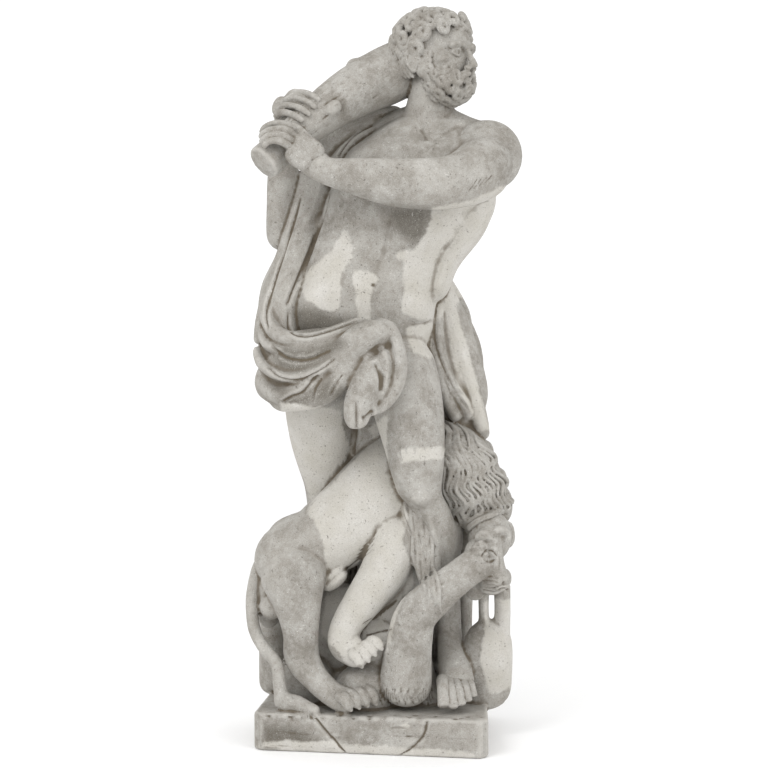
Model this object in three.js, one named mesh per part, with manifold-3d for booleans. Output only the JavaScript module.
// A carved stone garden group on its own slab: a bearded hero, astride a lion, swings back his club.
// Man, lion, stump and slab are one block of stone, so the whole group is one closed solid.
// Millimetres, +Z up. The slab stands on Z = 0 and the group is composed to be seen from -Y.
import * as THREE from 'three';
import { LoftGeometry } from 'three/addons/geometries/LoftGeometry.js';
import { mergeVertices } from 'three/addons/utils/BufferGeometryUtils.js';
import Module from 'manifold-3d';

// Driving dimensions.
const FIGURE_HEIGHT = 1900; // from the top of the slab to the topmost curl
const SLAB_HEIGHT = 100;
const SLAB_WIDTH = 620; // along its front edge
const SLAB_DEPTH = 500;
const SLAB_CORNER_CUT = 20;
const SLAB_SKEW = 90; // how far its left front corner stands behind the right one

// The carving is laid out in steps, 692 to the figure's height.
const STEP = FIGURE_HEIGHT / 692;
// The composition is drawn as it looks from one viewpoint, and each point is then carried along its
// line of sight to its own depth.
const EYE_UP = 364; // steps above the slab
const EYE_DISTANCE = 1640; // steps in front of the axis

const STONE = { color: 0xb4b0a4, roughness: 0.9, metalness: 0 };

const wasm = await Module();
wasm.setup();

const DEPTH_AXIS = new THREE.Vector3(0, 1, 0);

// How much wider a thing is than it looks from the eye, when it stands that many steps behind the axis.
const spread = (depth) => 1 + depth / EYE_DISTANCE;

// A point seen that far across and up from the axis, in steps, at a depth behind it.
function place(across, up, depth) {
  const k = spread(depth);
  return new THREE.Vector3(
    across * k * STEP,
    depth * STEP,
    SLAB_HEIGHT + (EYE_UP + (up - EYE_UP) * k) * STEP,
  );
}

function solidOf(geometry) {
  const bare = new THREE.BufferGeometry();
  bare.setAttribute('position', geometry.getAttribute('position'));
  bare.setIndex(geometry.index);
  const merged = mergeVertices(bare, 1e-3);
  return new wasm.Manifold(
    new wasm.Mesh({
      numProp: 3,
      vertProperties: merged.getAttribute('position').array,
      triVerts: new Uint32Array(merged.index.array),
    }),
  );
}

// A rounded form along a smooth path. Each station is [across, up, depth, half width, half depth], in steps.
// Rings of `sides` points stand square to the path. `flutes` grooves run along it, as between the folds of
// a cloth or the locks of a mane, cut in by the share `groove` and turned by `twist` degrees on the way.
// `level` rings lie flat however the path leans, and `rounded` ends close in over a last, smaller ring.
function limb(stations, options = {}) {
  const { sides = 8, rings = stations.length, level = false, rounded = true } = options;
  const { blunt = 0.45, flutes = 0, groove = 0.2, twist = 0 } = options;
  const path = new THREE.CatmullRomCurve3(
    stations.map(([across, up, depth]) => place(across, up, depth)),
    false,
    'centripetal',
  );
  const girth = new THREE.CatmullRomCurve3(
    stations.map(([, , depth, wide, deep]) =>
      new THREE.Vector3(wide, deep, 0).multiplyScalar(spread(depth) * STEP)),
    false,
    'centripetal',
  );
  const endShare = (station) =>
    (rounded ? Math.min(0.3, (0.45 * (station[3] + station[4]) * STEP) / path.getLength()) : 0);
  const start = endShare(stations[0]);
  const end = endShare(stations[stations.length - 1]);
  const between = Array.from({ length: rings }, (_, i) => [start + (i / (rings - 1)) * (1 - start - end), 1]);
  const steps = rounded ? [[0, blunt], ...between, [1, blunt]] : between;
  // flat-sided rings are drawn a little larger, so that their mean girth is the one given
  const fit = 2 / (1 + Math.cos(Math.PI / sides));
  const sections = steps.map(([t, share]) => {
    const centre = path.getPoint(t);
    const along = path.getTangent(t);
    if (level) along.set(0, 0, Math.sign(along.z));
    const side = new THREE.Vector3().crossVectors(along, DEPTH_AXIS).normalize();
    const front = new THREE.Vector3().crossVectors(side, along).normalize();
    const size = girth.getPoint(t);
    return Array.from({ length: sides }, (_, j) => {
      const angle = ((j + 0.5) / sides) * 2 * Math.PI + THREE.MathUtils.degToRad(twist) * t;
      const cut = flutes && j % (sides / flutes) === 0 ? 1 - groove : 1;
      return centre
        .clone()
        .addScaledVector(side, -size.x * share * fit * cut * Math.cos(angle))
        .addScaledVector(front, size.y * share * fit * cut * Math.sin(angle));
    });
  });
  return solidOf(new LoftGeometry(sections, { capStart: true, capEnd: true }));
}

// A ball squeezed to three half sizes in steps, and turned about the depth axis by a lean in degrees.
function blob([across, up, depth], [wide, deep, high], lean = 0, sides = 8) {
  const geometry = new THREE.SphereGeometry(STEP, sides, Math.max(4, Math.round(sides * 0.6)));
  geometry.rotateX(Math.PI / 2);
  geometry.scale(wide, deep, high);
  geometry.rotateY(THREE.MathUtils.degToRad(lean));
  const centre = place(across, up, depth);
  geometry.translate(centre.x, centre.y, centre.z);
  return solidOf(geometry);
}

// A small twenty-faced knob: a curl, a toe or a fingertip. Half sizes are in steps.
function knob([across, up, depth], [wide, deep, high], lean = 0) {
  const geometry = new THREE.IcosahedronGeometry(STEP, 0);
  geometry.scale(wide, deep, high);
  geometry.rotateY(THREE.MathUtils.degToRad(lean));
  const centre = place(across, up, depth);
  geometry.translate(centre.x, centre.y, centre.z);
  return solidOf(geometry);
}

// The trunk of the body, wide and swung to his right, with the chest turned towards his club.
function torso() {
  return [
    limb(
      [
        [-20, 306, 14, 60, 46],
        [-24, 356, 12, 73, 54],
        [-24, 384, 8, 74, 55],
        [-18, 411, 4, 74, 53],
        [-6, 439, 4, 76, 50],
        [11, 466, 2, 80, 52],
        [24, 496, 0, 84, 55],
        [35, 524, 2, 84, 56],
        [40, 549, 6, 76, 46],
        [42, 570, 10, 50, 30],
        [44, 588, 10, 26, 26],
      ],
      { sides: 12, rings: 9, level: true },
    ),
    // neck and the slope to the shoulders
    limb([[40, 556, 12, 33, 30], [45, 584, 8, 24, 24], [50, 632, 0, 24, 26]], { sides: 7, rounded: false }),
    limb([[-34, 534, 46, 28, 26], [8, 560, 28, 26, 22], [42, 584, 14, 20, 20]], { sides: 6, rounded: false }),
    limb([[108, 550, -2, 26, 26], [78, 564, 6, 22, 20], [48, 582, 8, 19, 18]], { sides: 6, rounded: false }),
    // chest, and the broad muscle of the back under the raised arm
    blob([-4, 518, -32], [42, 22, 27], -14, 6),
    blob([60, 516, -36], [40, 24, 28], 8, 6),
    limb([[100, 524, 4, 22, 38], [82, 480, 6, 22, 40], [60, 438, 8, 15, 38], [50, 400, 12, 12, 34]], { sides: 6 }),
  ];
}

function leftArm() {
  return [
    blob([103, 545, -10], [35.5, 34, 36], 0, 10),
    limb(
      [
        [104, 548, -6, 32, 34],
        [96, 531, -44, 31, 31],
        [68, 519, -76, 27, 25],
        [40, 517, -86, 26, 23],
        [6, 519, -88, 24, 21],
        [-30, 525, -84, 18.5, 16],
        [-60, 531, -77, 14, 12.5],
        [-74, 542, -74, 16, 10],
        [-90, 560, -68, 17, 9.5],
        [-102, 570, -64, 14, 8],
      ],
      { sides: 8, rings: 9 },
    ),
  ];
}

// The forearm rises behind the club from the lowered elbow.
function rightArm() {
  return [
    limb(
      [
        [-24, 540, 52, 30, 28],
        [-58, 506, 44, 23, 23],
        [-88, 476, 28, 18, 20],
        [-105, 462, 16, 11, 16],
        [-103, 500, 8, 14.5, 16],
        [-101, 526, 4, 15.5, 15],
        [-99, 560, -6, 12.5, 11],
        [-95, 592, -16, 15, 10],
      ],
      { sides: 7, rings: 8 },
    ),
  ];
}

const FINGER = 4.9; // half its thickness, in steps

// Fingers closed round the club. Each runs from its knuckle to its tip.
function fingers() {
  const paths = [
    // left hand, near the butt
    [[-86, 574, -66], [-104, 578, -62], [-122, 570, -62]],
    [[-93, 569, -72], [-108, 571, -70], [-123, 563, -70]],
    [[-99, 561, -76], [-112, 563, -78], [-121, 556, -76]],
    [[-104, 554, -76], [-112, 553, -82], [-116, 546, -82]],
    // right hand, higher up
    [[-92, 602, -6], [-82, 608, -26], [-63, 604, -50]],
    [[-96, 596, -10], [-88, 601, -34], [-65, 595, -55]],
    [[-103, 590, -16], [-98, 595, -40], [-76, 589, -60]],
    [[-108, 583, -22], [-106, 588, -44], [-84, 585, -64]],
  ];
  return paths.map((points) =>
    limb(points.map((p) => [...p, FINGER, FINGER]), { sides: 5, rounded: false }));
}

// A knotty club, its butt towards the viewer and its thick end behind the head.
function club() {
  return [
    limb(
      [
        [-120, 540, -66, 19.5, 19.5],
        [-100, 556, -55, 18.5, 18.5],
        [-63, 587, -34, 22, 22],
        [-32, 608, -14, 26, 26],
        [0, 624, 8, 29, 29],
        [22, 634, 28, 29, 29],
        [38, 640, 46, 23, 23],
      ],
      { sides: 9, rings: 5, blunt: 0.8 },
    ),
    blob([-29, 637, -2], [9, 10, 7], -30, 5),
    blob([-54, 594, -48], [10, 8, 7], -40, 5),
  ];
}

function leftLeg() {
  return [
    limb(
      [
        [10, 376, 4, 38, 46],
        [16, 334, -12, 38, 43],
        [24, 291, -24, 36, 38],
        [30, 256, -30, 31, 33],
        [33, 229, -32, 26.5, 29],
        [36, 208, -30, 22, 26],
        [45, 194, -24, 20, 24],
        [55, 168, -12, 19, 27],
        [61, 138, -2, 16, 22],
        [64, 102, 8, 12.5, 14],
        [65, 76, 14, 12.5, 14],
        [66, 50, 22, 13, 15],
        [66, 22, 32, 13, 13],
      ],
      { sides: 9, rings: 11, level: true },
    ),
    limb([[65, 72, 16, 11, 12], [67, 48, 0, 14, 14], [70, 26, -18, 18, 13], [71, 8, -36, 19, 9]],
      { sides: 7, rings: 3 }),
  ];
}

function rightLeg() {
  return [
    limb(
      [
        [-48, 366, 18, 38, 46],
        [-62, 301, 28, 37, 42],
        [-61, 261, 36, 33, 36],
        [-58, 234, 42, 28, 30],
        [-56, 215, 46, 23.5, 26],
        [-54, 196, 52, 23, 25],
        [-53, 161, 62, 22, 26],
        [-51, 111, 74, 16, 19],
        [-49, 66, 82, 13, 14],
        [-49, 26, 84, 14, 14],
      ],
      { sides: 8, rings: 8, level: true },
    ),
    limb([[-48, 32, 84, 13, 12], [-56, 18, 64, 18, 12], [-64, 8, 34, 18, 8]],
      { sides: 10, rings: 3, flutes: 5, groove: 0.15 }),
  ];
}

// Five toes fanned across the left foot, from the big one outwards.
function toes([across, up, depth], spacing) {
  return Array.from({ length: 5 }, (_, i) => {
    const size = i === 0 ? 7 : 5.6 - 0.25 * i;
    const back = i * i * 1.2;
    return knob([across + (i - 2) * spacing, up, depth + back], [size * 0.95, 10, size]);
  });
}

function lion() {
  return [
    // barrel of the body, from rump to shoulder, and the neck
    limb(
      [
        [-104, 142, -2, 22, 26],
        [-92, 152, -2, 32, 34],
        [-68, 158, 0, 37, 38],
        [-36, 178, 4, 42, 40],
        [-4, 204, 12, 47, 42],
        [28, 231, 28, 48, 44],
        [64, 236, 28, 44, 42],
        [90, 202, 16, 35, 36],
        [102, 170, 4, 25, 30],
      ],
      { sides: 10, rings: 7 },
    ),
    // near hind leg
    limb(
      [
        [-96, 150, -18, 26, 26],
        [-91, 126, -30, 33, 27],
        [-86, 96, -36, 24, 22],
        [-83, 66, -38, 18, 17],
        [-82, 44, -36, 18, 15],
        [-66, 20, -44, 13.5, 12],
        [-47, 4, -52, 13, 10],
        [-30, -2, -58, 14, 9],
      ],
      { sides: 7, rings: 7 },
    ),
    // far hind leg and the stone left behind it
    limb([[-104, 130, 26, 24, 24], [-108, 96, 34, 20, 24], [-112, 60, 40, 14, 18], [-104, 24, 36, 13, 14],
      [-84, 6, 22, 13, 9]], { sides: 5, rings: 4 }),
    limb([[-112, 96, 46, 13, 22], [-114, 8, 50, 11, 18]], { sides: 5 }),
    // near foreleg, folded back with its paw on the rock
    limb(
      [
        [18, 186, -8, 28, 26],
        [10, 158, -18, 26, 25],
        [0, 130, -26, 24, 22],
        [-21, 100, -32, 19.5, 19],
        [-38, 74, -36, 16, 16],
        [-41, 58, -38, 15.5, 15],
        [-28, 48, -45, 15, 12],
        [-16, 46, -50, 11, 9],
      ],
      { sides: 7, rings: 6 },
    ),
    // far foreleg, its elbow on the slab and its paw drawn up to the cheek
    limb(
      [
        [21, -4, -38, 24, 20],
        [22, 18, -44, 26, 23],
        [23, 40, -46, 25, 22],
        [26, 62, -48, 23, 20],
        [31, 84, -50, 21.5, 18],
        [54, 107, -54, 19, 16],
        [76, 125, -56, 17, 15],
        [94, 138, -54, 17, 13],
        [103, 143, -50, 11, 10],
      ],
      { sides: 7, rings: 7 },
    ),
    // shoulder mass between the legs, and the sheath under the belly
    limb([[36, 156, 8, 38, 34], [14, 104, 8, 40, 34], [-10, 60, 6, 38, 30]], { sides: 6 }),
    knob([-48, 124, -18], [12, 12, 8], -20),
    // tail, coming down behind the rump and round to the slab
    limb(
      [
        [-112, 150, 4, 8, 10],
        [-128, 126, -6, 8, 9],
        [-132, 96, -16, 6.5, 7],
        [-130, 70, -26, 6.5, 7],
        [-119, 52, -34, 6.5, 7],
        [-108, 38, -40, 6.5, 7],
        [-104, 14, -42, 7, 8],
        [-101, -8, -42, 9, 9],
      ],
      { sides: 5, rings: 7 },
    ),
    limb([[-106, -2, -42, 9, 9], [-90, -2, -46, 9, 8], [-76, -7, -52, 7, 7], [-64, -10, -56, 4, 5]],
      { sides: 5, rings: 3 }),
  ];
}

// Digits of a paw, from the first to the last.
function digits(first, last, count, sizes) {
  return Array.from({ length: count }, (_, i) =>
    knob(first.map((value, k) => value + ((last[k] - value) * i) / (count - 1)), sizes));
}

function paws() {
  return [
    ...digits([-36, -2, -66], [-20, 2, -50], 4, [10, 6.5, 6.5]),
    ...digits([-24, 38, -57], [-7, 53, -53], 4, [9, 6, 6]),
    ...digits([102, 151, -60], [99, 131, -62], 3, [9, 6, 6]),
  ];
}

// The lion's head hangs to the right, muzzle down on the cut branches of the stump.
function lionHead() {
  return [
    blob([106, 164, -12], [22, 25, 26], 8, 8),
    limb([[105, 172, -30, 15, 12], [108, 148, -38, 13, 12], [111, 124, -42, 13, 13], [113, 116, -36, 11, 10]],
      { sides: 6, rings: 3 }),
    knob([107, 122, -28], [17, 19, 14], 8),
    limb([[92, 138, -20, 12, 16], [86, 102, -10, 10, 12]], { sides: 5 }),
    knob([123, 164, -18], [6, 7, 10]),
    knob([94, 178, -34], [9, 6, 5], -30),
  ];
}

// The mane: a twisted collar of locks down the neck, with loose locks at its edge and beside the shin.
function mane() {
  const loose = [
    [114, 216, 10, 22, 15], [123, 198, 6, 10, 15], [125, 180, 2, -6, 13],
    [96, 222, -8, 30, 16], [106, 202, -14, 20, 15], [84, 206, -18, 26, 16], [92, 186, -26, 14, 14],
  ];
  return [
    limb([[48, 246, 22, 36, 42], [72, 234, 14, 40, 43], [92, 208, 8, 34, 40], [104, 180, 0, 24, 32]],
      { sides: 15, rings: 4, flutes: 5, groove: 0.18, twist: 50 }),
    ...loose.map(([a, u, d, lean, half]) => knob([a, u, d], [8, 10, half], lean)),
    limb([[29, 204, -14, 14, 12], [34, 178, -34, 14, 9], [38, 146, -42, 12, 8], [40, 112, -42, 5, 5]],
      { sides: 9, flutes: 3, groove: 0.3 }),
  ];
}

// The cut stump that carries the lion's chin, its two branches with a gap between them, and its knots.
function stump() {
  return [
    limb([[99, -4, 14, 14, 22], [103, 14, 10, 22, 24], [107, 50, 2, 20, 19], [110, 82, 0, 17, 14]],
      { sides: 8, rings: 4 }),
    limb([[101, 66, -2, 6, 9], [99.5, 94, -8, 5.4, 8], [100, 118, -14, 6, 8]], { sides: 5, rounded: false }),
    limb([[118, 66, -2, 8.5, 10], [118.5, 92, -6, 8.4, 10], [118, 118, -12, 8.6, 9]], { sides: 5, rounded: false }),
    knob([119, 24, 2], [9, 10, 9]),
  ];
}

// Rock under the group, and the trunk that props the cloak and the lion's neck from behind.
function rock() {
  return [
    limb([[-84, 0, 26, 30, 22], [-30, 14, 14, 28, 44], [10, 16, 12, 28, 44], [72, 2, 30, 16, 36]],
      { sides: 6, rings: 3 }),
    limb([[94, 262, 46, 14, 18], [98, 224, 50, 14, 20], [86, 170, 54, 20, 26], [80, 110, 52, 9, 20],
      [79, 64, 50, 9, 20], [77, 10, 46, 20, 30]], { sides: 6, rings: 5 }),
    limb([[0, 290, 58, 36, 30], [10, 200, 58, 44, 24], [14, 130, 62, 44, 26], [2, -2, 56, 60, 34]],
      { sides: 10, rings: 4, flutes: 5, groove: 0.16 }),
  ];
}

// The cloak: rolled over his right shoulder, down his side, round the hips to a knot in front.
function frontCloak() {
  return [
    // over the shoulder
    limb([[22, 584, 34, 14, 12], [-10, 580, 32, 17, 14], [-44, 562, 30, 20, 16], [-70, 530, 20, 18, 16]],
      { sides: 9, rings: 3, flutes: 3, groove: 0.25, rounded: false }),
    // down his side to the hip
    limb([[-58, 548, 16, 18, 18], [-73, 508, 12, 17, 20], [-80, 464, 4, 17, 22], [-92, 424, -4, 19, 24],
      [-99, 384, -8, 21, 28], [-99, 350, -6, 21, 34], [-92, 318, -6, 22, 38]],
      { sides: 12, rings: 5, flutes: 4, groove: 0.26, twist: 20 }),
    // the belt of cloth across the hips, and the thinner bands that cross over it
    limb([[-107, 338, 4, 34, 15], [-98, 331, -26, 38, 22], [-76, 334, -48, 38, 24], [-44, 345, -60, 32, 22],
      [-10, 364, -62, 18, 18]],
      { sides: 18, rings: 5, flutes: 6, groove: 0.24 }),
    limb([[-98, 420, -16, 8, 10], [-107, 386, -24, 9, 10], [-102, 364, -40, 10, 9], [-80, 353, -62, 10, 9],
      [-54, 357, -72, 9, 9], [-12, 378, -64, 8, 9]], { sides: 5, rings: 6, rounded: false }),
    limb([[-112, 312, 0, 9, 12], [-96, 300, -34, 10, 12], [-68, 300, -60, 11, 12], [-38, 322, -78, 11, 10],
      [-14, 350, -80, 9, 9]], { sides: 5, rings: 5, rounded: false }),
    // the knot, its outer loop and the pouch that hangs from it
    blob([-6, 368, -68], [20, 18, 14], -25, 6),
    limb([[-8, 376, -70, 9, 12], [8, 368, -70, 11, 13], [15, 340, -66, 12, 14], [8, 306, -68, 10, 12],
      [-6, 292, -74, 7, 10]], { sides: 9, rings: 5, flutes: 3, groove: 0.28, rounded: false }),
    limb([[-10, 358, -78, 11, 10], [-20, 332, -84, 14, 12], [-28, 302, -86, 15, 13], [-29, 282, -84, 12, 10],
      [-24, 270, -80, 8, 7]], { sides: 9, rings: 4, flutes: 3, groove: 0.28 }),
  ];
}

// The cloak behind: across the back, then down beside the left thigh to the trunk.
function backCloak() {
  return [
    limb([[4, 584, 42, 40, 16], [-14, 540, 58, 54, 20], [-22, 480, 64, 64, 22], [-12, 420, 68, 74, 24],
      [14, 360, 68, 80, 26], [40, 310, 62, 60, 26], [58, 266, 56, 38, 24]],
      { sides: 18, rings: 5, flutes: 6, groove: 0.26 }),
    limb([[56, 420, 28, 10, 12], [60, 391, 32, 17, 18], [68, 351, 34, 23, 24], [74, 311, 36, 27, 26],
      [78, 284, 38, 25, 24], [92, 266, 40, 12, 14]], { sides: 15, rings: 4, flutes: 5, groove: 0.24 }),
  ];
}

// The head is built facing -Y about the centre of the skull, then turned to his left and set on the neck.
const HEAD_CENTRE = [53, 645.4, -4];
const HEAD_TURN = 56; // degrees

function head() {
  const forms = [];
  const at = place(...HEAD_CENTRE);
  const add = (geometry) => {
    geometry.scale(STEP, STEP, STEP);
    geometry.rotateZ(THREE.MathUtils.degToRad(HEAD_TURN));
    geometry.translate(at.x, at.y, at.z);
    forms.push(solidOf(geometry));
  };
  const ball = (x, y, z, wide, deep, high, sides = 6) => {
    const geometry = new THREE.SphereGeometry(1, sides, Math.max(4, Math.round(sides * 0.6)));
    geometry.rotateX(Math.PI / 2);
    geometry.scale(wide, deep, high);
    geometry.translate(x, y, z);
    add(geometry);
  };
  // a ball covered in curls: every other point of it stands out
  const curls = (x, y, z, wide, deep, high, around, down, lift) => {
    const geometry = new THREE.SphereGeometry(1, around, down);
    const points = geometry.getAttribute('position');
    for (let i = 0; i < points.count; i += 1) {
      const row = Math.floor(i / (around + 1));
      const column = i % (around + 1);
      const pole = row === 0 || row === down;
      const share = !pole && (row + column) % 2 ? 1 + lift : 1 - lift;
      points.setXYZ(i, points.getX(i) * share, points.getY(i) * share, points.getZ(i) * share);
    }
    geometry.rotateX(Math.PI / 2);
    geometry.scale(wide, deep, high);
    geometry.translate(x, y, z);
    add(geometry);
  };
  curls(0, 9, 11, 37, 42, 36, 14, 8, 0.09);
  curls(0, -15, -33, 25, 26, 21, 10, 5, 0.09);
  // forehead, face, nose and ears
  ball(0, -6, 6, 25, 32, 20, 8);
  ball(0, -9, -12, 24, 26, 26, 8);
  const nose = new THREE.CylinderGeometry(2.4, 6, 22, 5);
  nose.rotateX(Math.PI / 2 + 1.2);
  nose.translate(0, -35, -3);
  add(nose);
  for (const side of [-1, 1]) {
    ball(side * 32, 10, -14, 5, 9, 12, 6);
  }
  return forms;
}

// The slab under the group, worn off at its corners and out of square.
function slab() {
  const front = -0.47 * SLAB_DEPTH;
  const back = front + SLAB_DEPTH;
  const left = -0.56 * SLAB_WIDTH;
  const right = left + SLAB_WIDTH;
  const cut = SLAB_CORNER_CUT;
  const outline = new THREE.Shape([
    new THREE.Vector2(left, front + SLAB_SKEW + cut),
    new THREE.Vector2(left + cut, front + SLAB_SKEW),
    new THREE.Vector2(right - cut, front),
    new THREE.Vector2(right, front + cut),
    new THREE.Vector2(right + cut, back - cut),
    new THREE.Vector2(right, back),
    new THREE.Vector2(left + 3 * cut, back),
    new THREE.Vector2(left + 2 * cut, back - cut),
  ]);
  return [solidOf(new THREE.ExtrudeGeometry(outline, { depth: SLAB_HEIGHT, bevelEnabled: false }))];
}

const stones = [
  slab(), rock(), stump(), torso(), leftLeg(), rightLeg(), leftArm(), rightArm(), fingers(), club(), head(),
  toes([71, -4, -44], 7.6), lion(), paws(), lionHead(), mane(), frontCloak(), backCloak(),
].flat();

const carved = stones.reduce((whole, form) => whole.add(form));

const { vertProperties, triVerts } = carved.getMesh();
const statueGeometry = new THREE.BufferGeometry();
statueGeometry.setAttribute('position', new THREE.BufferAttribute(vertProperties, 3));
statueGeometry.setIndex(new THREE.BufferAttribute(triVerts, 1));
statueGeometry.computeVertexNormals();

const statue = new THREE.Mesh(statueGeometry, new THREE.MeshStandardMaterial(STONE));
statue.name = 'statue_group';

const group = new THREE.Group();
group.add(statue);

export default group;
